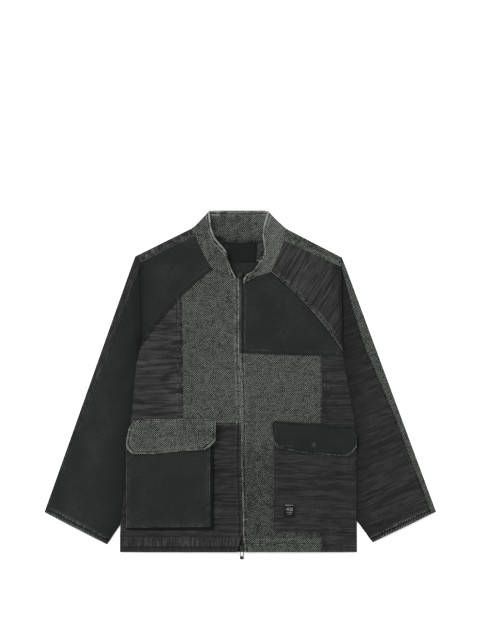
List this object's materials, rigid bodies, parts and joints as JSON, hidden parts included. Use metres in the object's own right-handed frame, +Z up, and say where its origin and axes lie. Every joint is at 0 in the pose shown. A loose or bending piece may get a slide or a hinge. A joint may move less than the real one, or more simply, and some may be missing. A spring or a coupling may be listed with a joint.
{
  "type": "patched boro jacket",
  "caption": "Zip jacket patched from washed black cloths, laid flat: stand collar, bellows pocket and patch pocket with flaps, overarm strips.",
  "frame": {"origin": "middle of the laid-out jacket's bounding box, on the surface that it lies on", "axes": "+Z up from the surface, +Y from the hem to the collar, +X to the wearer's left"},
  "size_m": [0.861, 0.7677, 0.0231],
  "materials": {
    "plain_denim": "washed black denim, matt",
    "crinkled_denim": "washed black denim, crinkled in fine rows, matt",
    "sashiko_cloth": "thick cotton with a small woven diamond, grey on black, worn",
    "striped_cloth": "washed black cotton with pale broken streaks",
    "twill_tape": "black cotton twill and zip tape",
    "woven_label": "black woven label, no lettering",
    "zip_metal": "dark oxidised metal, satin",
    "pull_metal": "dark oxidised metal, satin"
  },
  "bodies": {
    "jacket": {"back_panel": "plain_denim", "neck_facing": "twill_tape", "neck_label": "woven_label", "yoke_right": "plain_denim", "chest_right": "sashiko_cloth", "side_right": "crinkled_denim", "lower_right": "crinkled_denim", "hem_band_right": "striped_cloth", "yoke_left": "crinkled_denim", "chest_left": "plain_denim", "mid_left": "sashiko_cloth", "side_left": "crinkled_denim", "shoulder_strip_right": "striped_cloth", "shoulder_strip_left": "sashiko_cloth", "sleeve_right": "plain_denim", "overarm_strip_right": "striped_cloth", "sleeve_left": "crinkled_denim", "overarm_strip_left": "sashiko_cloth", "collar": "sashiko_cloth", "pocket_gusset_right": "plain_denim", "pocket_right": "plain_denim", "flap_right": "sashiko_cloth", "pocket_left": "crinkled_denim", "flap_left": "plain_denim", "pocket_label": "woven_label", "zip_tape_right": "twill_tape", "zip_tape_left": "twill_tape", "zip_chain": "zip_metal", "zip_slider_bottom": "zip_metal", "zip_slider_top": "zip_metal"},
    "pull_tab": {"zip_pull": "pull_metal"}
  },
  "joints": [
    {"name": "pull_swing", "type": "hinge", "parent": "jacket", "child": "pull_tab", "pos_m": [0.004, -0.36268, 0.009], "axis": [-1, 0, 0], "range_deg": [0, 180]}
  ]
}
